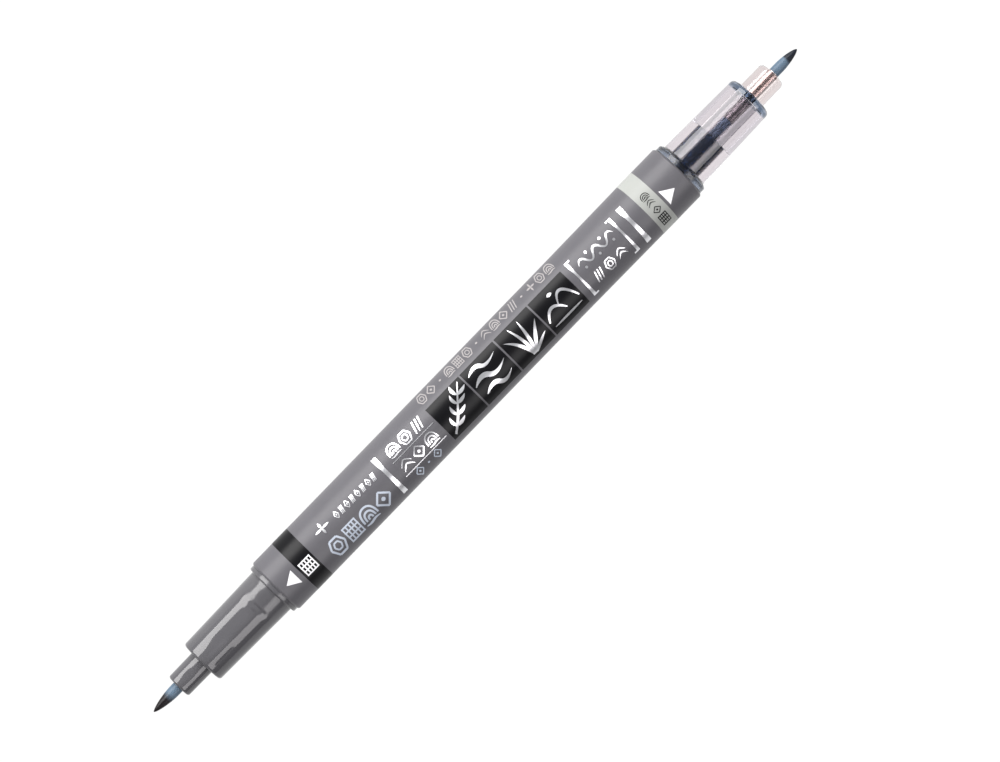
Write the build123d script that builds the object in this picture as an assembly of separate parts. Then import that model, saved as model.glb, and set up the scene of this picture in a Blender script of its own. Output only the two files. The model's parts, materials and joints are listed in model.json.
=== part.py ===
from build123d import *
import os

# Double-ended brush pen lying on its side with both caps off.
# X runs along the pen: the clear grey-ink end is at +X, the opaque black-ink end at -X.
# Z is up, the barrel rests on Z = 0, and X = 0 is halfway between the two points. Millimetres.

# Driving dimensions
OVERALL = 156.9             # point to point
BARREL_R = 5.5              # outside radius of the barrel
WALL = 1.0                  # barrel wall
BARREL_FLARE = 0.13         # growth in radius at the barrel's grey-ink end
FLARE_FROM = 20.0           # X where the flare starts
FLARE_TO = 44.0             # X where it is complete
EDGE = 0.3                  # chamfer on the barrel's ends
GAP = 0.02                  # clearance between pieces that push together
COLLAR_R = 5.25             # collar that the grey-ink end's cap seats on
COLLAR = 0.9                # its straight part
COLLAR_CONE = 0.7           # and the cone in front of it
RIM_R = 5.15                # rim that the black-ink end's cap seats on
RIM_GROOVE = 0.12           # groove between the barrel and the rim
RIM_GROOVE_DEPTH = 0.1
RIM_FRONT = 0.85            # front of the rim
BODY_ROOT_R = 4.5           # tapered section body, at the collar
BODY_FRONT_R = 4.23         # and at its shoulder
SKIRT = 14.0                # length of each section inside the barrel
STEM_DEPTH = 6.0            # how far a tip's stem enters its reservoir
RESERVOIR_R = 3.0           # fibre rod
FILM = 0.05                 # film round the fibre rod
FRONT_BORE_R = 2.42         # free space in front of the reservoir
SHOULDER_WALL = 1.1         # thickness of the wall behind the front tube
SLEEVE_WALL = 0.085         # metal sleeve
PARTITION = 2.0             # wall between the ink chambers
CUP = 4.0                   # depth of the cups on it
VENT_R = 0.28               # air channels along the front tube
VENTS = 4
RIBS = 4                    # ribs inside the barrel that centre the reservoirs
RIB = 0.8                   # their thickness
FLEX_AHEAD = 0.5            # a tip bends about a point this far in front of its mouth
BEAD = 0.06                 # height of the snap bead on a section's skirt
BEAD_AT = 5.0               # its distance inside the barrel

# Worked out from them
BORE_R = BARREL_R - WALL
AXIS_Z = BARREL_R + BARREL_FLARE
RESERVOIR_BORE_R = RESERVOIR_R + FILM + 0.03


class End:
    """One end of the pen. Distances run outwards from the barrel's edge."""

    def __init__(
        self, name, turn, barrel_end, body_end, shoulder, tube_r, tube_rounding, tube_end, nib_r, sleeve_end
    ):
        self.name = name
        self.turn = turn                    # degrees about Z from +X
        self.barrel_end = barrel_end        # X of the barrel's edge
        self.body_end = body_end            # front of the tapered body
        self.shoulder = shoulder            # rounding there
        self.tube_r = tube_r
        self.tube_rounding = tube_rounding
        self.tube_end = tube_end            # front of the small tube
        self.nib_r = nib_r
        self.sleeve_end = sleeve_end
        self.mouth = max(tube_end, sleeve_end)
        self.tip_end = OVERALL / 2 - abs(barrel_end)
        self.reservoir_front = 8.1
        self.reservoir_rear = PARTITION / 2 - abs(barrel_end)
        self.sleeve_rear = 12.15

    def place(self, shape):
        return Pos(self.barrel_end, 0, AXIS_Z) * Rot(0, 0, self.turn) * shape


BLACK = End("black", 180, -48.95, 17.8, 0.5, 2.36, 0.4, 23.5, 1.05, 23.2)
GREY = End("grey", 0, 49.2, 18.0, 1.0, 2.62, 0.9, 23.3, 0.965, 23.54)


def turned(*corners):
    """Solid of revolution about X. Each corner is (x, radius) or (x, radius, rounding)."""
    points = [corner[:2] for corner in corners]
    roundings = [corner[2] if len(corner) > 2 else 0 for corner in corners]
    outline = FilletPolyline(*points, radius=roundings, close=True)
    return revolve(make_face(outline), axis=Axis.X)


def ring(x_from, x_to, inner_r, outer_r):
    return turned((x_from, inner_r), (x_to, inner_r), (x_to, outer_r), (x_from, outer_r))


def rod(x_from, x_to, radius):
    return turned((x_from, 0), (x_to, 0), (x_to, radius), (x_from, radius))


def around(count, shape, first=0.0):
    """Copies of a shape spaced evenly about X."""
    return [Rot(first + 360 * i / count, 0, 0) * shape for i in range(count)]


def barrel_tube():
    left, right = BLACK.barrel_end, GREY.barrel_end
    wide = BARREL_R + BARREL_FLARE
    tube = turned(
        (left, BORE_R),
        (left, BARREL_R - EDGE),
        (left + EDGE, BARREL_R),
        (FLARE_FROM, BARREL_R, 60),
        (FLARE_TO, wide, 60),
        (right - EDGE, wide),
        (right, wide - EDGE),
        (right, BORE_R),
    )
    bead_width = 1.0
    for x in (left + BEAD_AT, right - BEAD_AT):
        groove = ring(x - bead_width / 2 - GAP, x + bead_width / 2 + GAP, BORE_R - 0.2, BORE_R + BEAD + GAP)
        tube -= groove
    rib_inner = RESERVOIR_R + FILM + 0.1
    rib_height = BORE_R - rib_inner + 0.2
    rib_start = PARTITION / 2 + CUP + 0.3
    for end in (left, right):
        rib_end = abs(end) - SKIRT - 0.5
        side = 1 if end > 0 else -1
        rib = Box(rib_end - rib_start, RIB, rib_height)
        rib = Pos(side * (rib_start + rib_end) / 2, 0, rib_inner + rib_height / 2) * rib
        tube += around(RIBS, rib, 45)
    return Pos(0, 0, AXIS_Z) * tube


def centre_partition():
    cup_outer = RESERVOIR_BORE_R + 0.8
    half, deep = PARTITION / 2, PARTITION / 2 + CUP
    body = turned(
        (-half, 0),
        (-half, RESERVOIR_BORE_R),
        (-deep, RESERVOIR_BORE_R),
        (-deep, cup_outer),
        (-half, cup_outer, 0.3),
        (-half, BORE_R - GAP),
        (half, BORE_R - GAP),
        (half, cup_outer, 0.3),
        (deep, cup_outer),
        (deep, RESERVOIR_BORE_R),
        (half, RESERVOIR_BORE_R),
        (half, 0),
    )
    return Pos(0, 0, AXIS_Z) * body


def collar_corners(end):
    """Outline of the collar between the barrel's edge and the tapered body."""
    if end is BLACK:
        return [
            (0, RIM_R - RIM_GROOVE_DEPTH),
            (RIM_GROOVE, RIM_R - RIM_GROOVE_DEPTH),
            (RIM_GROOVE, RIM_R),
            (RIM_FRONT, RIM_R, 0.25),
            (RIM_FRONT, BODY_ROOT_R),
        ]
    return [(0, COLLAR_R), (COLLAR, COLLAR_R, 0.15), (COLLAR + COLLAR_CONE, BODY_ROOT_R + 0.05)]


def section_shell(end):
    skirt_r = BORE_R - GAP
    bead_r = BORE_R + BEAD
    front_wall = end.body_end - SHOULDER_WALL
    sleeve_bore = end.nib_r + 0.02 + SLEEVE_WALL + GAP
    shell = turned(
        (-SKIRT, RESERVOIR_BORE_R),
        (-SKIRT, skirt_r, 0.4),
        (-BEAD_AT - 0.5, skirt_r),
        (-BEAD_AT - 0.2, bead_r),
        (-BEAD_AT + 0.2, bead_r),
        (-BEAD_AT + 0.5, skirt_r),
        (0, skirt_r),
        *collar_corners(end),
        (end.body_end, BODY_FRONT_R, end.shoulder),
        (end.body_end, end.tube_r, 0.15),
        (end.tube_end, end.tube_r - 0.04, end.tube_rounding),
        (end.tube_end, sleeve_bore),
        (front_wall, sleeve_bore),
        (front_wall, FRONT_BORE_R, 0.3),
        (end.reservoir_front, FRONT_BORE_R),
        (end.reservoir_front, RESERVOIR_BORE_R),
    )
    vent = Pos((front_wall + end.tube_end) / 2, 0, sleeve_bore) * Rot(0, 90, 0)
    vent *= Cylinder(VENT_R, end.tube_end - front_wall + 1)
    for channel in around(VENTS, vent, 45):
        shell -= channel
    return shell


def nib_sleeve(end):
    inner = end.nib_r + 0.02
    return ring(end.sleeve_rear, end.sleeve_end, inner, inner + SLEEVE_WALL)


def nib_stem(end):
    """Straight tail of the tip, from inside the reservoir to just behind the point where the tip bends."""
    rear = end.reservoir_front - STEM_DEPTH + 0.05
    front = end.mouth + FLEX_AHEAD - end.nib_r - 0.15
    radius = end.nib_r - 0.03
    return turned((rear, 0), (front, 0), (front, radius), (rear, radius, 0.2))


def brush_tip(end):
    """Pointed part of the tip. Its rounded rear end turns about the bending point without meeting the sleeve."""
    bend = end.mouth + FLEX_AHEAD
    ball_r = end.nib_r - 0.1
    length = end.tip_end - bend
    r = end.nib_r
    back = CenterArc((bend, 0), ball_r, 90, 90)
    step = Line((bend, ball_r), (bend, r))
    outline = Spline(
        (bend, r),
        (bend + 0.32 * length, 0.97 * r),
        (bend + 0.62 * length, 0.71 * r),
        (bend + 0.86 * length, 0.4 * r),
        (bend + length, 0),
        tangents=[(1, 0), (0, -1)],
    )
    axis = Line((bend + length, 0), (bend - ball_r, 0))
    return revolve(make_face([back, step, outline, axis]), axis=Axis.X)


def ink_reservoir(end):
    """Fibre rod, with the hole that the tip's stem has pressed into its front."""
    core = rod(end.reservoir_rear + GAP, end.reservoir_front - GAP, RESERVOIR_R)
    hole = rod(end.reservoir_front - STEM_DEPTH, end.reservoir_front + 1, end.nib_r - 0.01)
    return core - hole


def reservoir_film(end):
    bare_front, bare_rear = 0.6, 1.0
    inner = RESERVOIR_R + 0.005
    return ring(end.reservoir_rear + bare_rear, end.reservoir_front - bare_front, inner, RESERVOIR_R + FILM)


END_PIECES = {
    "section_shell": section_shell,
    "nib_sleeve": nib_sleeve,
    "nib_stem": nib_stem,
    "brush_tip": brush_tip,
    "ink_reservoir": ink_reservoir,
    "reservoir_film": reservoir_film,
}


def main():
    os.makedirs("parts", exist_ok=True)
    nodes = {"barrel_tube": barrel_tube(), "centre_partition": centre_partition()}
    for end in (BLACK, GREY):
        for piece, make in END_PIECES.items():
            nodes[f"{end.name}_{piece}"] = end.place(make(end))
    for node, solid in nodes.items():
        export_step(solid, f"parts/{node}.step")


main()
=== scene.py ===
import bpy
import json
import math
from mathutils import Matrix, Vector


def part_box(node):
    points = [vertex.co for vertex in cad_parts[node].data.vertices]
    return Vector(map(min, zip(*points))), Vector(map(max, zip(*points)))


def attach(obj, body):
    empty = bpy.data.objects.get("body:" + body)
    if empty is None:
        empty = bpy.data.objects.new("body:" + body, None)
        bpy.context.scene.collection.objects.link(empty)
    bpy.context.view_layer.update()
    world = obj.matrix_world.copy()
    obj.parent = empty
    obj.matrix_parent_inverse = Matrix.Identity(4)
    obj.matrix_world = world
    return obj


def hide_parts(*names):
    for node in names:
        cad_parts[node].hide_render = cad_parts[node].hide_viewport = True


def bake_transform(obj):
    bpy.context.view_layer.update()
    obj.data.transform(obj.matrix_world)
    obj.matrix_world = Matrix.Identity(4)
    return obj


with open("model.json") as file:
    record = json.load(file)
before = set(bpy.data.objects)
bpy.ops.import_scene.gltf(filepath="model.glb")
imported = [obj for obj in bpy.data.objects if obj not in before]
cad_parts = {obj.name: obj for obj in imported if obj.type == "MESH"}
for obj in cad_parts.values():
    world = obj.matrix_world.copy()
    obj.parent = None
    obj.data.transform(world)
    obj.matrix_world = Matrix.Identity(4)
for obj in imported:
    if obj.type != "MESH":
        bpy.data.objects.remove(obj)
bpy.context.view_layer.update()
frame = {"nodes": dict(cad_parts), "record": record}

# The pen lies along X with its clear end at +X. Lengths are in metres; MM turns millimetres into them.
MM = 0.001
TURN = 2 * math.pi
PEN = "pen"

# Sizes read from the frame
barrel_low, barrel_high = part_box("barrel_tube")
AXIS_Z = (barrel_low.z + barrel_high.z) / 2
grip = next(mount for mount in frame["record"]["mounts"] if mount["name"] == "barrel_grip")
BARREL_R = grip["dims"]["r_mm"] * MM
WIDE_R = barrel_high.z - AXIS_Z
BORE_R = BARREL_R - 1.0 * MM
FLARE_FROM, FLARE_TO = 20 * MM, 44 * MM
AXIS = Vector((0, 0, AXIS_Z))

STEPS = 160                 # faces round a lathe-turned piece
WELD = 1e-6                 # metres within which two points count as one
INK_STEP = 3.75             # degrees between the folds of a printed shape round the barrel
INK_REACH = 80              # degrees from the top, either way, as far as the folds go
INK_THICKNESS = 0.012       # mm
STROKE_STEPS = 10           # points that a smooth stroke has for each place on its line


# ---------------------------------------------------------------- modelling helpers

def deselect():
    bpy.ops.object.select_all(action="DESELECT")


def edit(piece):
    deselect()
    piece.select_set(True)
    bpy.context.view_layer.objects.active = piece
    bpy.ops.object.mode_set(mode="EDIT")
    bpy.ops.mesh.select_all(action="SELECT")


def leave_edit():
    bpy.ops.object.mode_set(mode="OBJECT")


def settle(piece):
    """Puts the piece's place and size into its mesh."""
    deselect()
    piece.select_set(True)
    bpy.context.view_layer.objects.active = piece
    bpy.ops.object.transform_apply(location=True, rotation=True, scale=True)
    return piece


def apply_modifiers(piece):
    deselect()
    piece.select_set(True)
    bpy.context.view_layer.objects.active = piece
    for modifier in list(piece.modifiers):
        bpy.ops.object.modifier_apply(modifier=modifier.name)


def smooth(piece, degrees=30):
    deselect()
    piece.select_set(True)
    bpy.context.view_layer.objects.active = piece
    bpy.ops.object.shade_smooth_by_angle(angle=math.radians(degrees))


def joined(name, pieces):
    deselect()
    for piece in pieces:
        piece.select_set(True)
    bpy.context.view_layer.objects.active = pieces[0]
    if len(pieces) > 1:
        bpy.ops.object.join()
    whole = bpy.context.object
    whole.name = whole.data.name = name
    return whole


def arc(before, corner, after, radius, steps=7):
    """Points of the arc that rounds a corner, from the leg before it to the leg after it."""
    back, on = (before - corner).normalized(), (after - corner).normalized()
    half = back.angle(on) / 2
    reach = radius / math.tan(half)
    room = 0.499 * min((before - corner).length, (after - corner).length)
    if reach > room:
        radius, reach = radius * room / reach, room
    centre = corner + (back + on).normalized() * radius / math.sin(half)
    first, last = corner + back * reach - centre, corner + on * reach - centre
    swing = first.angle_signed(last)
    turn = [Matrix.Rotation(-swing * i / steps, 2) for i in range(steps + 1)]
    return [centre + m @ first for m in turn]


def outline(corners, closed, longest):
    """Chain of points through corners given as (distance, radius) or (distance, radius, rounding), in mm."""
    spots = [Vector(corner[:2]) for corner in corners]
    roundings = [corner[2] if len(corner) > 2 else 0 for corner in corners]
    count = len(spots)
    chain = []
    for i, (spot, rounding) in enumerate(zip(spots, roundings)):
        inner = closed or 0 < i < count - 1
        if rounding and inner:
            chain += arc(spots[i - 1], spot, spots[(i + 1) % count], rounding)
        else:
            chain.append(spot)
    if closed:
        chain.append(chain[0])
    fine = [chain[0]]
    for a, b in zip(chain, chain[1:]):
        cuts = max(1, math.ceil((b - a).length / longest)) if longest else 1
        fine += [a.lerp(b, i / cuts) for i in range(1, cuts + 1)]
    return fine


def lathe(name, corners, edge=0.0, side=1, closed=True, longest=None, steps=STEPS):
    """Turned piece: an outline drawn point by point beside the pen's axis, then spun round it.
    Distances run from edge towards side, in mm."""
    chain = outline(corners, closed, longest)
    places = [Vector((edge + side * d * MM, 0, AXIS_Z + r * MM)) for d, r in chain]
    deselect()
    bpy.ops.mesh.primitive_plane_add(size=MM, location=places[0])
    piece = settle(bpy.context.object)
    piece.name = piece.data.name = name
    edit(piece)
    bpy.ops.mesh.merge(type="CENTER")
    for here, there in zip(places, places[1:]):
        bpy.ops.mesh.extrude_region_move(TRANSFORM_OT_translate={"value": there - here})
    bpy.ops.mesh.select_all(action="SELECT")
    bpy.ops.mesh.spin(steps=steps, angle=TURN, center=AXIS, axis=(1, 0, 0))
    bpy.ops.mesh.select_all(action="SELECT")
    bpy.ops.mesh.remove_doubles(threshold=WELD)
    bpy.ops.mesh.normals_make_consistent(inside=False)
    leave_edit()
    smooth(piece)
    return piece


# ---------------------------------------------------------------- camera, light and floor

def make_camera():
    """Looks straight down on the pen from high above its opaque end, turned so that the pen runs
    from lower left to upper right."""
    slant = math.radians(45.854)
    height = 805 * MM
    right = Vector((math.cos(slant), -math.sin(slant), 0))
    place = Vector((-26 * MM, 0, AXIS_Z + height))
    aim = Vector((2.59 * MM, -3.06 * MM, AXIS_Z))
    forward = (aim - place).normalized()
    right = (right - forward * right.dot(forward)).normalized()
    up = right.cross(forward)
    camera = bpy.data.objects.new("camera", bpy.data.cameras.new("camera"))
    camera.data.sensor_width = 36
    camera.data.lens = 170.75
    camera.data.clip_start = 0.01
    camera.matrix_world = Matrix.Translation(place) @ Matrix((right, up, -forward)).transposed().to_4x4()
    bpy.context.scene.collection.objects.link(camera)
    bpy.context.scene.camera = camera


def softbox(name, low_angle, high_angle, length, radiance, tint):
    """Flat light above one side of the pen. It fills the angles from the vertical that are given in
    degrees, positive towards +Y, and faces the pen."""
    distance = 0.6
    middle = math.radians((low_angle + high_angle) / 2)
    half = math.radians(abs(high_angle - low_angle) / 2)
    width = 2 * distance * math.tan(half)
    lamp = bpy.data.lights.new(name, "AREA")
    lamp.shape = "RECTANGLE"
    lamp.size, lamp.size_y = length, width
    lamp.energy = radiance * math.pi * length * width
    lamp.color = tint
    light = bpy.data.objects.new(name, lamp)
    back = Vector((0, math.sin(middle), math.cos(middle)))
    light.location = AXIS + back * distance
    light.rotation_euler = (-middle, 0, 0)
    light.visible_camera = False
    bpy.context.scene.collection.objects.link(light)


def make_light():
    softbox("softbox_upper", 30, 71, 0.95, 8.0, (1, 0.985, 0.975))
    softbox("softbox_lower", -30, -62, 0.55, 4.0, (1, 0.97, 0.98))
    world = bpy.data.worlds.new("studio")
    bpy.context.scene.world = world
    world.use_nodes = True
    nodes, link = world.node_tree.nodes, world.node_tree.links.new
    background = nodes["Background"]
    background.inputs["Color"].default_value = (0.95, 0.97, 1, 1)
    where = nodes.new("ShaderNodeTexCoord").outputs["Generated"]
    split = nodes.new("ShaderNodeSeparateXYZ")
    across = nodes.new("ShaderNodeMapRange")
    across.inputs["From Min"].default_value = -1
    across.inputs["To Min"].default_value = 0.06
    across.inputs["To Max"].default_value = 0.55
    along = nodes.new("ShaderNodeMath")
    along.operation = "ABSOLUTE"
    ends = nodes.new("ShaderNodeMapRange")
    ends.inputs["From Min"].default_value = 0.3
    ends.inputs["To Min"].default_value = 1
    ends.inputs["To Max"].default_value = 0.7
    strength = nodes.new("ShaderNodeMath")
    strength.operation = "MULTIPLY"
    link(where, split.inputs["Vector"])
    link(split.outputs["Y"], across.inputs["Value"])
    link(split.outputs["X"], along.inputs[0])
    link(along.outputs["Value"], ends.inputs["Value"])
    link(across.outputs["Result"], strength.inputs[0])
    link(ends.outputs["Result"], strength.inputs[1])
    link(strength.outputs["Value"], background.inputs["Strength"])
    bpy.context.scene.view_settings.view_transform = "Standard"


def make_floor():
    deselect()
    bpy.ops.mesh.primitive_plane_add(size=6, location=(0, 0, 0))
    floor = bpy.context.object
    floor.name = "floor"
    paper = bpy.data.materials.new("white_paper")
    paper.use_nodes = True
    shader = paper.node_tree.nodes["Principled BSDF"]
    shader.inputs["Base Color"].default_value = (0.02, 0.02, 0.02, 1)
    shader.inputs["Roughness"].default_value = 1
    shader.inputs["Specular IOR Level"].default_value = 0
    shader.inputs["Emission Color"].default_value = (1, 1, 1, 1)
    shader.inputs["Emission Strength"].default_value = 1
    floor.data.materials.append(paper)


# ---------------------------------------------------------------- shared effects

def new_group(name, inputs, outputs):
    group = bpy.data.node_groups.new(name, "ShaderNodeTree")
    for socket, kind, value in inputs:
        made = group.interface.new_socket(socket, in_out="INPUT", socket_type=kind)
        if value is not None:
            made.default_value = value
    for socket, kind in outputs:
        group.interface.new_socket(socket, in_out="OUTPUT", socket_type=kind)
    start = group.nodes.new("NodeGroupInput")
    end = group.nodes.new("NodeGroupOutput")
    return group, start, end


FLOAT, VECTOR = "NodeSocketFloat", "NodeSocketVector"


def make_moulded_grain():
    """Fine spark-eroded grain and slow mottling, as on moulded plastic."""
    group, start, end = new_group(
        "moulded_grain",
        [("Vector", VECTOR, None), ("Grain Scale", FLOAT, 6000), ("Depth", FLOAT, 0.002 * MM)],
        [("Normal", VECTOR), ("Mottle", FLOAT)],
    )
    nodes, link = group.nodes, group.links.new
    grain = nodes.new("ShaderNodeTexNoise")
    grain.inputs["Detail"].default_value = 3
    bump = nodes.new("ShaderNodeBump")
    bump.inputs["Strength"].default_value = 1
    mottle = nodes.new("ShaderNodeTexNoise")
    mottle.inputs["Scale"].default_value = 260
    mottle.inputs["Detail"].default_value = 4
    link(start.outputs["Vector"], grain.inputs["Vector"])
    link(start.outputs["Grain Scale"], grain.inputs["Scale"])
    link(start.outputs["Vector"], mottle.inputs["Vector"])
    link(grain.outputs["Fac"], bump.inputs["Height"])
    link(start.outputs["Depth"], bump.inputs["Distance"])
    link(bump.outputs["Normal"], end.inputs["Normal"])
    link(mottle.outputs["Fac"], end.inputs["Mottle"])
    return group


def make_drawn_lines():
    """Fine lines along the pen, as on drawn tube, combed fibre or brushed-out ink."""
    group, start, end = new_group(
        "drawn_lines",
        [
            ("Vector", VECTOR, None),
            ("Across", FLOAT, 9000),
            ("Along", FLOAT, 250),
            ("Depth", FLOAT, 0.004 * MM),
        ],
        [("Normal", VECTOR), ("Lines", FLOAT)],
    )
    nodes, link = group.nodes, group.links.new
    scale = nodes.new("ShaderNodeCombineXYZ")
    stretch = nodes.new("ShaderNodeVectorMath")
    stretch.operation = "MULTIPLY"
    noise = nodes.new("ShaderNodeTexNoise")
    noise.inputs["Scale"].default_value = 1
    noise.inputs["Detail"].default_value = 3
    bump = nodes.new("ShaderNodeBump")
    bump.inputs["Strength"].default_value = 1
    link(start.outputs["Along"], scale.inputs["X"])
    link(start.outputs["Across"], scale.inputs["Y"])
    link(start.outputs["Across"], scale.inputs["Z"])
    link(start.outputs["Vector"], stretch.inputs[0])
    link(scale.outputs["Vector"], stretch.inputs[1])
    link(stretch.outputs["Vector"], noise.inputs["Vector"])
    link(noise.outputs["Fac"], bump.inputs["Height"])
    link(start.outputs["Depth"], bump.inputs["Distance"])
    link(bump.outputs["Normal"], end.inputs["Normal"])
    link(noise.outputs["Fac"], end.inputs["Lines"])
    return group


def make_ink_and_shade_edge():
    """Mask that goes from 0 to 1 between two places along the pen, with the uneven edge of soaked-up ink. It
    bounds ink stains, changes of roughness, and painted shade on the clear resin and the sleeve.
    """
    group, start, end = new_group(
        "ink_and_shade_edge",
        [("Vector", VECTOR, None), ("From", FLOAT, 0), ("To", FLOAT, 1), ("Unevenness", FLOAT, 0.4 * MM)],
        [("Mask", FLOAT)],
    )
    nodes, link = group.nodes, group.links.new
    split = nodes.new("ShaderNodeSeparateXYZ")
    noise = nodes.new("ShaderNodeTexNoise")
    noise.inputs["Scale"].default_value = 900
    noise.inputs["Detail"].default_value = 3
    centred = nodes.new("ShaderNodeMath")
    centred.operation = "SUBTRACT"
    centred.inputs[1].default_value = 0.5
    sway = nodes.new("ShaderNodeMath")
    sway.operation = "MULTIPLY_ADD"
    run = nodes.new("ShaderNodeMapRange")
    run.interpolation_type = "SMOOTHSTEP"
    link(start.outputs["Vector"], split.inputs["Vector"])
    link(start.outputs["Vector"], noise.inputs["Vector"])
    link(noise.outputs["Fac"], centred.inputs[0])
    link(centred.outputs["Value"], sway.inputs[0])
    link(start.outputs["Unevenness"], sway.inputs[1])
    link(split.outputs["X"], sway.inputs[2])
    link(sway.outputs["Value"], run.inputs["Value"])
    link(start.outputs["From"], run.inputs["From Min"])
    link(start.outputs["To"], run.inputs["From Max"])
    link(run.outputs["Result"], end.inputs["Mask"])
    return group


def make_near_axis():
    """Mask that is 1 within a radius of the pen's axis."""
    group, start, end = new_group(
        "near_axis", [("Vector", VECTOR, None), ("Radius", FLOAT, 1)], [("Mask", FLOAT)]
    )
    nodes, link = group.nodes, group.links.new
    off_axis = nodes.new("ShaderNodeVectorMath")
    off_axis.operation = "MULTIPLY_ADD"
    off_axis.inputs[1].default_value = (0, 1, 1)
    off_axis.inputs[2].default_value = (0, 0, -AXIS_Z)
    distance = nodes.new("ShaderNodeVectorMath")
    distance.operation = "LENGTH"
    within = nodes.new("ShaderNodeMath")
    within.operation = "LESS_THAN"
    link(start.outputs["Vector"], off_axis.inputs[0])
    link(off_axis.outputs["Vector"], distance.inputs[0])
    link(distance.outputs["Value"], within.inputs[0])
    link(start.outputs["Radius"], within.inputs[1])
    link(within.outputs["Value"], end.inputs["Mask"])
    return group


GRAIN, LINES, INK_AND_SHADE_EDGE, NEAR_AXIS = make_moulded_grain(), make_drawn_lines(), make_ink_and_shade_edge(), make_near_axis()


# ---------------------------------------------------------------- materials

class Finish:
    """A material with its Principled shader and Object coordinates ready."""

    def __init__(self, name, **constants):
        self.material = bpy.data.materials.new(name)
        self.material.use_nodes = True
        self.nodes = self.material.node_tree.nodes
        self.link = self.material.node_tree.links.new
        self.shader = self.nodes["Principled BSDF"]
        self.place = self.nodes.new("ShaderNodeTexCoord").outputs["Object"]
        for socket, value in constants.items():
            self.shader.inputs[socket.replace("_", " ")].default_value = value

    def effect(self, group, **values):
        node = self.nodes.new("ShaderNodeGroup")
        node.node_tree = group
        self.link(self.place, node.inputs["Vector"])
        for socket, value in values.items():
            node.inputs[socket.replace("_", " ")].default_value = value
        return node

    def into(self, output, socket):
        self.link(output, self.shader.inputs[socket])

    def blend(self, factor, one, other):
        """Colour that runs from one to the other with the factor."""
        mix = self.nodes.new("ShaderNodeMix")
        mix.data_type = "RGBA"
        self.link(factor, mix.inputs["Factor"])
        for socket, colour in (("A", one), ("B", other)):
            where = next(i for i in mix.inputs if i.name == socket and i.type == "RGBA")
            if isinstance(colour, tuple):
                where.default_value = (*colour, 1)
            else:
                self.link(colour, where)
        return next(o for o in mix.outputs if o.type == "RGBA")

    def ramp(self, factor, low, high):
        """Value that runs from low to high with the factor."""
        run = self.nodes.new("ShaderNodeMapRange")
        self.link(factor, run.inputs["Value"])
        run.inputs["To Min"].default_value = low
        run.inputs["To Max"].default_value = high
        return run.outputs["Result"]


def moulded(name, colour, roughness, **constants):
    """Moulded plastic: slightly mottled colour and gloss over a fine grain."""
    finish = Finish(name, **constants)
    grain = finish.effect(GRAIN, Depth=0.0015 * MM)
    darker = tuple(0.94 * c for c in colour)
    lighter = tuple(1.06 * c for c in colour)
    finish.into(finish.blend(grain.outputs["Mottle"], darker, lighter), "Base Color")
    finish.into(finish.ramp(grain.outputs["Mottle"], roughness * 0.85, roughness * 1.15), "Roughness")
    finish.into(grain.outputs["Normal"], "Normal")
    return finish.material


def rubbed_plastic():
    """Polished plastic of the black section, dulled near its collar where a cap's seal slides."""
    finish = Finish("section_plastic")
    grain = finish.effect(GRAIN, Depth=0.00005 * MM)
    rubbed = finish.effect(INK_AND_SHADE_EDGE, From=BLACK.x(4.6), To=BLACK.x(4.2), Unevenness=0.3 * MM)
    darker, lighter = (0.069, 0.068, 0.074), (0.079, 0.078, 0.084)
    finish.into(finish.blend(grain.outputs["Mottle"], darker, lighter), "Base Color")
    finish.into(finish.ramp(rubbed.outputs["Mask"], 0.08, 0.2), "Roughness")
    finish.into(grain.outputs["Normal"], "Normal")
    return finish.material


def printed(name, colour, roughness, **constants):
    """Ink or foil laid on the barrel: thin enough to take a little of its grain."""
    finish = Finish(name, **constants)
    grain = finish.effect(GRAIN, Grain_Scale=4000, Depth=0.001 * MM)
    thin = tuple(0.9 * c for c in colour)
    finish.into(finish.blend(grain.outputs["Mottle"], thin, colour), "Base Color")
    finish.into(finish.ramp(grain.outputs["Mottle"], roughness * 0.8, roughness * 1.2), "Roughness")
    finish.into(grain.outputs["Normal"], "Normal")
    return finish.material


def clear_resin():
    """Smoky clear resin. Its haze is a volume, so thick places are darker and bluer than thin walls. The
    collar is frosted. The collar and the shoulder, where thick edges look dark, and the bore are coloured
    darker as painted shade."""
    finish = Finish("clear_resin", Transmission_Weight=1, IOR=1.5, Specular_IOR_Level=0.3)
    # collar, bore and shoulder colours are painted shade; wall and tube are the resin's own tint
    collar, wall, bore = (0.34, 0.38, 0.46), (0.85, 0.77, 0.785), (0.3, 0.29, 0.325)
    shoulder, tube = (0.18, 0.23, 0.31), (0.91, 0.8, 0.77)

    def beyond(distance):
        return finish.effect(INK_AND_SHADE_EDGE, From=GREY.x(distance - 0.05), To=GREY.x(distance + 0.05), Unevenness=0)

    inside = finish.effect(NEAR_AXIS, Radius=3.3 * MM)
    colour = finish.blend(beyond(1.3).outputs["Mask"], collar, wall)
    colour = finish.blend(inside.outputs["Mask"], colour, bore)
    colour = finish.blend(beyond(16.8).outputs["Mask"], colour, shoulder)
    finish.into(finish.blend(beyond(18.05).outputs["Mask"], colour, tube), "Base Color")
    frost = finish.effect(INK_AND_SHADE_EDGE, From=GREY.x(1.5), To=GREY.x(1.35), Unevenness=0)
    finish.into(finish.ramp(frost.outputs["Mask"], 0, 0.22), "Roughness")
    haze = finish.nodes.new("ShaderNodeVolumeAbsorption")
    haze.inputs["Color"].default_value = (0.1, 0.2, 0.36, 1)
    haze.inputs["Density"].default_value = 0.045 / MM
    finish.link(haze.outputs["Volume"], finish.nodes["Material Output"].inputs["Volume"])
    return finish.material


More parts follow.
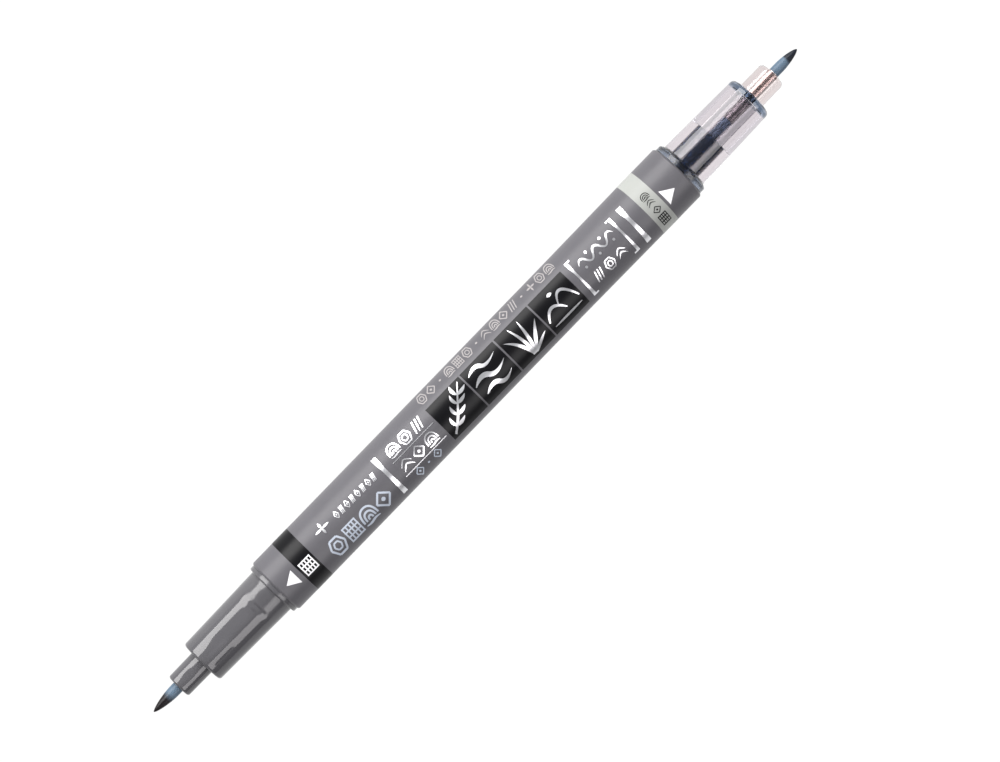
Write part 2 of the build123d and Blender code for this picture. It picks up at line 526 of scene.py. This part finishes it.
def sleeve_metal():
    """Drawn metal, bright in the tube. Behind the tube, inside the section, its colour is dark grey as
    painted shade.
    """
    finish = Finish("sleeve_metal", Metallic=0.7)
    lines = finish.effect(LINES, Depth=0.0002 * MM)
    colour = finish.blend(lines.outputs["Lines"], (0.9, 0.84, 0.74), (0.98, 0.93, 0.85))
    for end in (BLACK, GREY):
        # painted shade: the sleeve inside the section is coloured dark grey
        sleeve_shade = finish.effect(INK_AND_SHADE_EDGE, From=end.x(17.3), To=end.x(16.7), Unevenness=0.1 * MM)
        colour = finish.blend(sleeve_shade.outputs["Mask"], colour, (0.42, 0.38, 0.38))
    finish.into(colour, "Base Color")
    finish.into(finish.ramp(lines.outputs["Lines"], 0.26, 0.4), "Roughness")
    finish.into(lines.outputs["Normal"], "Normal")
    return finish.material


def ink_fibre(name, dark, light):
    finish = Finish(name, Specular_IOR_Level=0.25)
    lines = finish.effect(LINES, Across=12000, Depth=0.01 * MM)
    finish.into(finish.blend(lines.outputs["Lines"], dark, light), "Base Color")
    finish.into(finish.ramp(lines.outputs["Lines"], 0.5, 0.8), "Roughness")
    finish.into(lines.outputs["Normal"], "Normal")
    return finish.material


def thin_film():
    finish = Finish("clear_film", Base_Color=(0.8, 0.9, 0.99, 1), Transmission_Weight=1, IOR=1.2)
    lines = finish.effect(LINES, Depth=0.001 * MM)
    finish.into(finish.ramp(lines.outputs["Lines"], 0.12, 0.26), "Roughness")
    return finish.material


def stained_elastomer(name, stem, bare, stain, mouth, stain_from, stain_to):
    """Brush tip rubber. Its stem inside the pen has one colour, the bare rubber outside another, and it is
    dark where it carries ink. Where the stem's colour is lighter than the bare rubber's, that is painted
    light."""
    finish = Finish(name, Specular_IOR_Level=0.25)
    inside = finish.effect(INK_AND_SHADE_EDGE, From=mouth - 0.3 * MM, To=mouth + 0.1 * MM, Unevenness=0)
    creep = finish.effect(INK_AND_SHADE_EDGE, From=stain_from, To=stain_to)
    grain = finish.effect(GRAIN, Grain_Scale=9000, Depth=0.003 * MM)
    bare = finish.blend(inside.outputs["Mask"], stem, bare)
    finish.into(finish.blend(creep.outputs["Mask"], bare, stain), "Base Color")
    finish.into(finish.ramp(grain.outputs["Mottle"], 0.34, 0.5), "Roughness")
    finish.into(grain.outputs["Normal"], "Normal")
    return finish.material


# ---------------------------------------------------------------- the pen's ends

class End:
    """One end of the pen, with distances in mm outwards from the barrel's edge."""

    def __init__(self, name, side, tube_r, nib_r):
        self.name, self.side = name, side
        self.edge = barrel_low.x if side < 0 else barrel_high.x
        self.tube_r, self.nib_r = tube_r, nib_r
        self.tube_end = self.reach("section_shell")
        self.sleeve_end = self.reach("nib_sleeve")
        self.tip = self.reach("brush_tip")
        self.mouth = max(self.tube_end, self.sleeve_end)
        self.reservoir_front = self.reach("ink_reservoir")
        self.sleeve_rear = self.reach("nib_sleeve", far=False)
        self.stem_rear = self.reach("nib_stem", far=False)
        self.skirt_rear = self.reach("section_shell", far=False)

    def reach(self, node, far=True):
        low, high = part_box(f"{self.name}_{node}")
        ends = [self.side * (x - self.edge) / MM for x in (low.x, high.x)]
        return max(ends) if far else min(ends)

    def x(self, distance):
        return self.edge + self.side * distance * MM

    def lathe(self, name, corners, **options):
        return lathe(f"{self.name}_{name}", corners, edge=self.edge, side=self.side, **options)


BLACK = End("black", -1, 2.36, 1.05)
GREY = End("grey", 1, 2.62, 0.965)

# Section mouldings, in mm
COLLAR_R, BODY_ROOT_R, BODY_FRONT_R = 5.25, 4.5, 4.23
RESERVOIR_BORE_R, FRONT_BORE_R = 3.08, 2.42
BLACK_BODY_END, GREY_BODY_END = 17.8, 18.0
SHOULDER_WALL, SLEEVE_WALL, FILM_WALL = 1.1, 0.085, 0.045


def section_corners(end, body_end, collar, shoulder_rounding, tube_rounding):
    sleeve_bore = end.nib_r + SLEEVE_WALL + 0.04
    skirt_r = BORE_R / MM - 0.02
    front_wall = body_end - SHOULDER_WALL
    step = end.reservoir_front
    return [
        (end.skirt_rear, RESERVOIR_BORE_R),
        (end.skirt_rear, skirt_r, 0.4),
        (0.0, skirt_r),
        *collar,
        (body_end, BODY_FRONT_R, shoulder_rounding),
        (body_end, end.tube_r, 0.15),
        (end.tube_end, end.tube_r - 0.04, tube_rounding),
        (end.tube_end, sleeve_bore, 0.08),
        (front_wall, sleeve_bore, 0.1),
        (front_wall, FRONT_BORE_R, 0.3),
        (step, FRONT_BORE_R, 0.05),
        (step, RESERVOIR_BORE_R, 0.1),
    ]


def black_section():
    rim_r = COLLAR_R - 0.08
    collar = [
        (0.0, rim_r - 0.06),
        (0.12, rim_r - 0.06, 0.03),
        (0.12, rim_r, 0.04),
        (0.85, rim_r, 0.25),
        (0.85, BODY_ROOT_R, 0.12),
    ]
    corners = section_corners(BLACK, BLACK_BODY_END, collar, 0.5, 0.4)
    shell = BLACK.lathe("section", corners, longest=0.35)
    sink_in(shell)
    return shell


# Places where the black section's wall sank or swelled a little as it cooled: where each one starts, is at
# its full depth, starts to fade and ends, in mm outwards from the barrel, then its middle and half width in
# degrees from the top towards +Y, and its depth in mm. A swelling's depth is negative.
SINKS = (
    (5.4, 6.4, 12.8, 16.6, 10, 25, 0.17),
    (4.1, 4.5, 5.1, 5.6, -2, 46, 0.26),
    (1.2, 1.9, 3.0, 4.2, 22, 26, -0.16),
    (11.0, 12.5, 16.0, 17.6, -13, 17, -0.12),
    (19.4, 20.2, 21.0, 22.9, 6, 26, 0.09),
)


def smoothstep(value, start, end):
    share = min(1, max(0, (value - start) / (end - start)))
    return share * share * (3 - 2 * share)


def sink_in(shell):
    """Lets the outside of the black section sink and swell, which is what makes its reflections wavy."""
    deepest = max(abs(sink[6]) for sink in SINKS)
    sunk, swollen = (shell.vertex_groups.new(name=name) for name in ("sunk", "swollen"))
    for vertex in shell.data.vertices:
        across = Vector((vertex.co.y, vertex.co.z - AXIS_Z))
        outwards = -(vertex.co.x - BLACK.edge) / MM
        skin = BLACK.tube_r - 0.06 if outwards > BLACK_BODY_END else BODY_FRONT_R - 0.05
        if across.length < skin * MM or outwards < 1:
            continue        # the bore, the skirt and the collar stay round
        angle = math.degrees(math.atan2(across.x, across.y))
        depth = 0
        for start, full, fade, end, middle, half, most in SINKS:
            away = min(1, abs(angle - middle) / half)
            along = smoothstep(outwards, start, full) * (1 - smoothstep(outwards, fade, end))
            depth += most * along * (1 - away * away) ** 2
        group = sunk if depth > 0 else swollen
        group.add([vertex.index], abs(depth) / deepest, "REPLACE")
    for group, strength in ((sunk, -deepest), (swollen, deepest)):
        push = shell.modifiers.new(group.name, "DISPLACE")
        push.vertex_group = group.name
        push.mid_level = 0
        push.strength = strength * MM
    apply_modifiers(shell)
    shell.vertex_groups.clear()
    smooth(shell)


def grey_section():
    collar = [
        (0.0, COLLAR_R, 0.08),
        (1.05, COLLAR_R, 0.3),
        (1.5, BODY_ROOT_R + 0.05, 0.15),
    ]
    corners = section_corners(GREY, GREY_BODY_END, collar, 1.1, 0.9)
    return GREY.lathe("section", corners)


def nib(end, taper, fullness, bluntness):
    """Stem and brush tip in one piece. The tip swells from its point as a curved cone over the length of
    the taper."""
    stem_r = end.nib_r - 0.03
    corners = [
        (end.stem_rear, 0),
        (end.stem_rear, stem_r, 0.2),
        (end.mouth - 0.4, stem_r),
        (end.mouth - 0.1, end.nib_r),
    ]
    stations = 28
    for i in range(stations + 1):
        back = taper * (1 - i / stations) ** 1.5
        radius = end.nib_r * (1 - (1 - back / taper) ** fullness) ** bluntness
        corners.append((end.tip - back, radius))
    return end.lathe("nib", corners, closed=False, longest=0.35, steps=64)


def sleeve(end):
    inner = end.nib_r + 0.02
    outer = inner + SLEEVE_WALL
    rear, front = end.sleeve_rear, end.sleeve_end
    corners = [(rear, inner), (rear, outer, 0.03), (front, outer, 0.04), (front, inner)]
    return end.lathe("sleeve", corners, steps=96)


def reservoir(end):
    """Rod of fibre, bored at its front for the stem."""
    low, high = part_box(f"{end.name}_ink_reservoir")
    radius = (high.z - low.z) / 2 / MM
    rear = end.reach("ink_reservoir", far=False)
    front = end.reservoir_front
    bore_end = front - 6
    corners = [
        (rear, 0),
        (rear, radius, 0.15),
        (front, radius, 0.15),
        (front, end.nib_r, 0.05),
        (bore_end, end.nib_r),
        (bore_end, 0),
    ]
    return end.lathe("reservoir", corners, closed=False, steps=96)


def film(end):
    low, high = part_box(f"{end.name}_reservoir_film")
    outer = (high.z - low.z) / 2 / MM
    inner = outer - FILM_WALL
    rear, front = end.reach("reservoir_film", far=False), end.reach("reservoir_film")
    corners = [(rear, inner), (rear, outer), (front, outer), (front, inner)]
    return end.lathe("film", corners, steps=96)


# ---------------------------------------------------------------- the barrel

def barrel_r(x):
    """Outside radius of the barrel at X, in metres."""
    share = min(1, max(0, (x - FLARE_FROM) / (FLARE_TO - FLARE_FROM)))
    return BARREL_R + share * (WIDE_R - BARREL_R)


def barrel():
    bore, edge = BORE_R / MM, 0.3
    left, right = barrel_low.x / MM, barrel_high.x / MM
    narrow, wide = BARREL_R / MM, WIDE_R / MM
    corners = [
        (left, bore, 0.1),
        (left, narrow - edge, 0.1),
        (left + edge, narrow, 0.15),
        (FLARE_FROM / MM, narrow, 60),
        (FLARE_TO / MM, wide, 60),
        (right - edge, wide, 0.15),
        (right, wide - edge, 0.1),
        (right, bore, 0.1),
    ]
    return lathe("barrel", corners, longest=6, steps=192)


def ring_band(name, x_from, x_to):
    """Band of ink all round the barrel."""
    under, over = 0.004 * MM, 0.018 * MM
    r_from, r_to = barrel_r(x_from * MM), barrel_r(x_to * MM)
    corners = [
        (x_from, (r_from + under) / MM),
        (x_from, (r_from + over) / MM),
        (x_to, (r_to + over) / MM),
        (x_to, (r_to + under) / MM),
    ]
    return lathe(name, corners, steps=192)


# ---------------------------------------------------------------- print on the barrel
# Shapes are drawn flat above the barrel, in mm along the pen and across it, and then laid down onto it.

DRAW_Z = AXIS_Z + WIDE_R + 1 * MM


def plate(x_from, x_to, y_from, y_to):
    deselect()
    centre = ((x_from + x_to) / 2 * MM, (y_from + y_to) / 2 * MM, DRAW_Z)
    bpy.ops.mesh.primitive_plane_add(size=1, location=centre)
    flat = bpy.context.object
    flat.scale = ((x_to - x_from) * MM, (y_to - y_from) * MM, 1)
    return settle(flat)


def triangle(tip_x, base_x, y_from, y_to):
    """Arrowhead that points along the pen."""
    flat = plate(min(tip_x, base_x), max(tip_x, base_x), y_from, y_to)
    edit(flat)
    bpy.ops.mesh.select_all(action="DESELECT")
    leave_edit()
    for vertex in flat.data.vertices:
        vertex.select = abs(vertex.co.x - tip_x * MM) < WELD
    bpy.ops.object.mode_set(mode="EDIT")
    bpy.ops.mesh.merge(type="CENTER")
    leave_edit()
    return flat


def stroke(places, widths):
    """Flat ribbon along a smooth line, with its width at each point. All in mm."""
    line = bpy.data.curves.new("stroke", "CURVE")
    line.dimensions = "3D"
    line.twist_mode = "Z_UP"
    line.resolution_u = STROKE_STEPS
    spline = line.splines.new("NURBS" if len(places) > 2 else "POLY")
    spline.points.add(len(places) - 1)
    for point, (x, y), width in zip(spline.points, places, widths):
        point.co = (x * MM, y * MM, DRAW_Z, 1)
        point.radius = width
    if len(places) > 2:
        spline.order_u = 3
        spline.use_endpoint_u = True
    line.bevel_mode = "OBJECT"
    line.bevel_object = pen_nib_line()
    ribbon = bpy.data.objects.new("stroke", line)
    bpy.context.scene.collection.objects.link(ribbon)
    deselect()
    ribbon.select_set(True)
    bpy.context.view_layer.objects.active = ribbon
    bpy.ops.object.convert(target="MESH")
    return bpy.context.object


def pen_nib_line():
    """One-millimetre straight line that strokes take their flat section from."""
    found = bpy.data.objects.get("nib_line")
    if found:
        return found
    line = bpy.data.curves.new("nib_line", "CURVE")
    line.dimensions = "3D"
    spline = line.splines.new("POLY")
    spline.points.add(1)
    spline.points[0].co = (-0.5 * MM, 0, 0, 1)
    spline.points[1].co = (0.5 * MM, 0, 0, 1)
    profile = bpy.data.objects.new("nib_line", line)
    bpy.context.scene.collection.objects.link(profile)
    return profile


def lay_down(name, flats, form, lift):
    """Joins flat shapes, folds them along the pen, drops them onto the form and gives them a thickness."""
    ink = joined(name, flats)
    edit(ink)
    folds = int(INK_REACH / INK_STEP)
    for i in range(-folds, folds + 1):
        bpy.ops.mesh.select_all(action="SELECT")
        fold = WIDE_R * math.sin(math.radians(i * INK_STEP))
        bpy.ops.mesh.bisect(plane_co=(0, fold, 0), plane_no=(0, 1, 0))
    leave_edit()
    for face in ink.data.polygons:
        face.select = face.normal.z < 0
    bpy.ops.object.mode_set(mode="EDIT")
    bpy.ops.mesh.flip_normals()
    leave_edit()
    drop = ink.modifiers.new("drop", "SHRINKWRAP")
    drop.target = form
    drop.wrap_method = "PROJECT"
    drop.use_project_z = True
    drop.use_negative_direction = True
    drop.use_positive_direction = False
    drop.offset = lift * MM
    solid = ink.modifiers.new("thickness", "SOLIDIFY")
    solid.thickness = INK_THICKNESS * MM
    solid.offset = 1
    apply_modifiers(ink)
    smooth(ink, 40)
    return ink


class Cell:
    """Drawing area on the barrel. Places are shares of its length and height, with 0, 0 at its -X, -Y corner,
    and widths are shares of its height."""

    def __init__(self, x_from, x_to, y_from, y_to):
        self.x, self.y = x_from, y_from
        self.width, self.height = x_to - x_from, y_to - y_from

    def stroke(self, places, widths):
        spots = [(self.x + a * self.width, self.y + b * self.height) for a, b in places]
        return stroke(spots, [w * self.height for w in widths])


def rim(cell, corners, width):
    """Closed outline of straight strokes."""
    return [cell.stroke([a, b], [width, width]) for a, b in zip(corners, corners[1:] + corners[:1])]


def lozenge(cell):
    """Diamond outline with a small diamond in it."""
    return rim(cell, [(0, 0.5), (0.5, 1), (1, 0.5), (0.5, 0)], 0.12) + [
        cell.stroke([(0.36, 0.5), (0.5, 0.5), (0.64, 0.5)], [0, 0.5, 0])
    ]


def hexagon(cell):
    """Tortoiseshell cell: one hexagon inside another."""
    outer = [(0.0, 0.5), (0.24, 0.98), (0.76, 0.98), (1.0, 0.5), (0.76, 0.02), (0.24, 0.02)]
    inner = [(0.5 + (a - 0.5) * 0.48, 0.5 + (b - 0.5) * 0.48) for a, b in outer]
    return rim(cell, outer, 0.12) + rim(cell, inner, 0.10)


def wave_scale(cell):
    """Wave scale: three arches, one inside the other, over a low swell."""
    made = []
    for r in (0.5, 0.31, 0.13):
        sides = [(0.5 - r, 0.22), (0.5 - r, 0.22 + 1.5 * r), (0.5 + r, 0.22 + 1.5 * r), (0.5 + r, 0.22)]
        made.append(cell.stroke(sides, [0.12, 0.12, 0.12, 0.12]))
    return made + [cell.stroke([(0, 0.06), (0.3, 0.0), (0.7, 0.12), (1, 0.04)], [0.06, 0.13, 0.13, 0.05])]


def hatch(cell):
    """Slanting bars."""
    return [cell.stroke([(a, 0.02), (a + 0.3, 0.98)], [0.12, 0.12]) for a in (0.05, 0.35, 0.65)]


def lattice(cell):
    """Window lattice of thin bars."""
    made = [cell.stroke([(0, b), (1, b)], [0.09, 0.09]) for b in (0.04, 0.35, 0.65, 0.96)]
    return made + [cell.stroke([(a, 0), (a, 1)], [0.09, 0.09]) for a in (0.05, 0.28, 0.5, 0.72, 0.95)]


def chevrons(cell):
    """Two chevrons, one above the other."""
    made = []
    for b in (0.1, 0.5):
        made.append(cell.stroke([(0, b), (0.3, b + 0.34), (0.5, b + 0.42)], [0.04, 0.13, 0.11]))
        made.append(cell.stroke([(0.5, b + 0.42), (0.7, b + 0.34), (1, b)], [0.11, 0.13, 0.04]))
    return made


def petals(cell):
    """Four leaf shapes round a centre."""
    made = []
    for a, b in ((0, 0.5), (0.5, 1), (1, 0.5), (0.5, 0)):
        middle = (0.5 + (a - 0.5) * 0.55, 0.5 + (b - 0.5) * 0.55)
        made.append(cell.stroke([(0.5, 0.5), middle, (a, b)], [0.03, 0.36, 0.02]))
    return made


def dot(cell):
    """Small diamond."""
    return [cell.stroke([(0.35, 0.5), (0.5, 0.5), (0.65, 0.5)], [0, 0.4, 0])]


MOTIFS = {
    "l": lozenge,
    "h": hatch,
    "p": petals,
    "k": hexagon,
    "w": wave_scale,
    "g": lattice,
    "c": chevrons,
    ".": dot,
}


def motif_row(x_from, x_to, y_from, y_to, motifs, gap=0.2):
    """Row of small ornaments, given by their keys in MOTIFS."""
    pitch = (x_to - x_from + gap) / len(motifs)
    made = []
    for i, key in enumerate(motifs):
        start = x_from + i * pitch
        made += MOTIFS[key](Cell(start, start + pitch - gap, y_from, y_to))
    return made


def waisted_bar(x, y_from, y_to, end_width, waist):
    """Upright bar that is a little narrower at its middle."""
    spots = [(x, y_from + share * (y_to - y_from)) for share in (0, 0.08, 0.3, 0.5, 0.7, 0.92, 1)]
    return stroke(spots, [end_width, end_width, waist, waist, waist, end_width, end_width])


def branch(cell):
    """Leafy branch that rises across its cell."""
    made = [cell.stroke([(0.1, 0.08), (0.34, 0.27), (0.6, 0.58), (0.9, 0.93)], [0.05, 0.06, 0.05, 0.02])]
    for a, b in ((0.25, 0.2), (0.42, 0.38), (0.58, 0.57), (0.71, 0.72)):
        for lean, far in (((-0.07, 0.13), (0, 0.27)), ((0.14, -0.03), (0.27, 0.05))):
            leaf = [(a, b), (a + lean[0], b + lean[1]), (a + far[0], b + far[1])]
            made.append(cell.stroke(leaf, [0.03, 0.15, 0]))
    return made


def ripples(cell):
    """Flowing water in three tapering strokes."""
    return [
        cell.stroke([(0.10, 0.80), (0.34, 0.94), (0.56, 0.66), (0.88, 0.82)], [0.02, 0.12, 0.08, 0]),
        cell.stroke([(0.06, 0.50), (0.32, 0.68), (0.60, 0.34), (0.94, 0.54)], [0.02, 0.15, 0.10, 0]),
        cell.stroke([(0.14, 0.20), (0.40, 0.36), (0.64, 0.06), (0.90, 0.24)], [0.02, 0.13, 0.09, 0]),
    ]


def reeds(cell):
    """Blades of grass from one root."""
    return [
        cell.stroke([(0.42, 0.06), (0.36, 0.50), (0.08, 0.76)], [0.05, 0.13, 0]),
        cell.stroke([(0.45, 0.06), (0.46, 0.55), (0.34, 0.95)], [0.05, 0.12, 0]),
        cell.stroke([(0.48, 0.06), (0.60, 0.55), (0.62, 0.92)], [0.05, 0.13, 0]),
        cell.stroke([(0.50, 0.06), (0.72, 0.42), (0.94, 0.66)], [0.05, 0.14, 0]),
        cell.stroke([(0.52, 0.08), (0.74, 0.20), (0.92, 0.28)], [0.05, 0.10, 0]),
    ]


def vine(cell):
    """Tendril that winds from end to end, with a berry in each bend."""
    bends = [(0, 0.5), (0.1, 1.0), (0.3, 0.0), (0.5, 1.0), (0.7, 0.0), (0.9, 1.0), (1, 0.5)]
    made = [cell.stroke(bends, [0.03, 0.14, 0.1, 0.14, 0.1, 0.14, 0.02])]
    for a, side in ((0.1, -1), (0.3, 1), (0.5, -1), (0.7, 1), (0.9, -1)):
        b = 0.5 + 0.32 * side
        made.append(cell.stroke([(a - 0.03, b), (a, b), (a + 0.03, b)], [0.05, 0.3, 0.05]))
    return made


def hills(cell):
    """Two hills, one behind the other, with a low sun between them and still water in front."""
    return [
        cell.stroke([(0.06, 0.30), (0.30, 0.78), (0.58, 0.30)], [0.03, 0.13, 0.02]),
        cell.stroke([(0.46, 0.46), (0.70, 1.04), (0.94, 0.30)], [0.02, 0.12, 0.03]),
        cell.stroke([(0.40, 0.80), (0.47, 0.80), (0.54, 0.80)], [0, 0.17, 0]),
        cell.stroke([(0.10, 0.15), (0.50, 0.15), (0.90, 0.15)], [0.02, 0.08, 0.02]),
    ]


def square_cell(i):
    """One of the four black squares along the barrel."""
    start, pitch, side = -9.93, 8.255, 7.93
    return (start + i * pitch, start + i * pitch + side, -4.54, 2.57)


def white_flats():
    arrows = [triangle(-47.4, -45.1, -2.72, 0.12), triangle(46.4, 44.0, -3.0, 0.0)]
    return arrows + motif_row(-43.7, -41.0, -2.8, -0.2, "g")


def bracket(x, inwards):
    """Square bracket with a waisted upright."""
    made = [waisted_bar(x, -4.5, 2.9, 0.6, 0.38)]
    for y in (-4.38, 2.78):
        made.append(stroke([(x - 0.3 * inwards, y), (x + 0.85 * inwards, y)], [0.24, 0.24]))
    return made


def foil_flats():
    made = [waisted_bar(-22.0, -4.65, 3.2, 0.95, 0.72), waisted_bar(37.2, -4.65, 3.0, 1.0, 0.7)]
    made += bracket(24.3, 1) + bracket(34.8, -1)
    for y in (0.2, -2.95):
        made.append(stroke([(-20.2, y), (-10.5, y)], [0.14, 0.14]))
    for i, art in enumerate((branch, ripples, reeds, hills)):
        made += art(Cell(*square_cell(i)))
    made += motif_row(-19.7, -11.5, 0.75, 2.95, "wkh", 0.6)
    made += motif_row(-19.7, -11.5, -2.55, -0.35, "clw", 0.6)
    made += motif_row(26.1, 33.3, -3.55, -1.6, "hkc", 0.7)
    made += motif_row(-37.9, -34.8, 0.1, 2.3, "p")
    made += motif_row(-33.4, -23.7, 0.35, 1.75, "lhlhlhlh", 0.4)
    return made + vine(Cell(25.6, 33.8, -0.7, 2.3))


def pale_flats():
    made = motif_row(-38.0, -24.0, -4.25, -1.3, "kgwl", 0.55)
    return made + motif_row(-18.6, -12.8, -4.7, -3.2, "l.l", 0.5)


def fine_flats():
    return motif_row(-9.8, 22.7, 3.55, 5.1, "kl.wgk.cwlh.pkw", 0.45)


def dark_flats():
    made = motif_row(40.8, 42.6, -4.7, -2.95, "g")
    for y, motif in ((-2.55, "l"), (-0.95, "c"), (0.5, "w")):
        made += motif_row(40.95, 42.5, y, y + 1.25, motif)
    return made


def black_flats():
    return [plate(*square_cell(i)) for i in range(4)]


# ---------------------------------------------------------------- putting the pen together

def dress(piece, material, slot, *nodes, body=PEN):
    """Gives a finished piece its material, hides the CAD nodes it stands for and hangs it on the body it
    rides on. The slot is not used.
    """
    piece.data.materials.clear()
    piece.data.materials.append(material)
    if nodes:
        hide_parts(*nodes)
    if body:
        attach(piece, body)
    return piece


def bending(end, piece):
    """Works out where the tip would bend, from its mouth to the middle of its cone, but does not bend it: it
    only puts the tip's place into its mesh.
    """
    start, stop = end.x(end.mouth - 0.2), end.x(end.mouth + 3.2)
    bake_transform(piece)


def make_pen():
    grey_plastic = moulded("barrel_plastic", (0.092, 0.090, 0.099), 0.36, Specular_IOR_Level=0.21)
    section_plastic = rubbed_plastic()
    natural = moulded("partition_plastic", (0.6, 0.6, 0.58), 0.4)
    form = dress(barrel(), grey_plastic, "barrel_plastic", "barrel_tube")

    black_ink = printed("black_print", (0.003, 0.003, 0.004), 0.34, Specular_IOR_Level=0.16)
    white_ink = printed("white_print", (0.8, 0.8, 0.82), 0.4)
    grey_ink = printed("light_band_print", (0.30, 0.31, 0.295), 0.4, Specular_IOR_Level=0.2)
    pale_ink = printed("pale_print", (0.43, 0.48, 0.56), 0.4)
    fine_ink = printed("fine_print", (0.28, 0.265, 0.265), 0.4)
    foil = printed("silver_foil", (0.75, 0.755, 0.78), 0.31, Metallic=0.92)
    dress(ring_band("black_band", -44.15, -40.57), black_ink, "barrel_plastic")
    dress(ring_band("light_band", 40.0, 43.45), grey_ink, "barrel_plastic")
    layers = (
        ("black_squares", black_flats(), 0.015, black_ink),
        ("silver_print", foil_flats(), 0.04, foil),
        ("white_print", white_flats(), 0.04, white_ink),
        ("pale_print", pale_flats(), 0.02, pale_ink),
        ("fine_print", fine_flats(), 0.02, fine_ink),
        ("dark_print", dark_flats(), 0.04, black_ink),
    )
    for name, flats, lift, ink in layers:
        dress(lay_down(name, flats, form, lift), ink, "barrel_plastic")
    bpy.data.objects.remove(pen_nib_line())

    dress(black_section(), section_plastic, "section_plastic", "black_section_shell")
    dress(grey_section(), clear_resin(), "clear_resin", "grey_section_shell")

    metal, wrap = sleeve_metal(), thin_film()
    soaked = {
        BLACK: ink_fibre("black_ink_fibre", (0.004, 0.004, 0.005), (0.02, 0.02, 0.022)),
        GREY: ink_fibre("grey_ink_fibre", (0.012, 0.04, 0.105), (0.03, 0.08, 0.18)),
    }
    rubber = {
        BLACK: stained_elastomer(
            "black_nib_elastomer", (0.08, 0.122, 0.17), (0.08, 0.122, 0.17), (0.006, 0.004, 0.005),
            BLACK.x(BLACK.mouth), BLACK.x(25.0), BLACK.x(26.6),
        ),
        # the grey stem colour, the first colour below, is lighter than its bare rubber: painted light
        GREY: stained_elastomer(
            "grey_nib_elastomer", (0.24, 0.33, 0.47), (0.078, 0.118, 0.165), (0.008, 0.011, 0.018),
            GREY.x(GREY.mouth), GREY.x(26.3), GREY.x(26.9),
        ),
    }
    shapes = {BLACK: (5.0, 1.6, 0.65), GREY: (4.2, 1.6, 0.6)}
    for end in (BLACK, GREY):
        name = end.name
        dress(sleeve(end), metal, "sleeve_metal", f"{name}_nib_sleeve")
        dress(reservoir(end), soaked[end], f"{name}_ink_fibre", f"{name}_ink_reservoir")
        dress(film(end), wrap, "clear_film", f"{name}_reservoir_film")
        tip = dress(
            nib(end, *shapes[end]), rubber[end], f"{name}_nib_elastomer",
            f"{name}_nib_stem", f"{name}_brush_tip", body=None,
        )
        bending(end, tip)
    partition = frame["nodes"]["centre_partition"]
    partition.data.materials.clear()
    partition.data.materials.append(natural)


make_camera()
make_light()
make_floor()
make_pen()
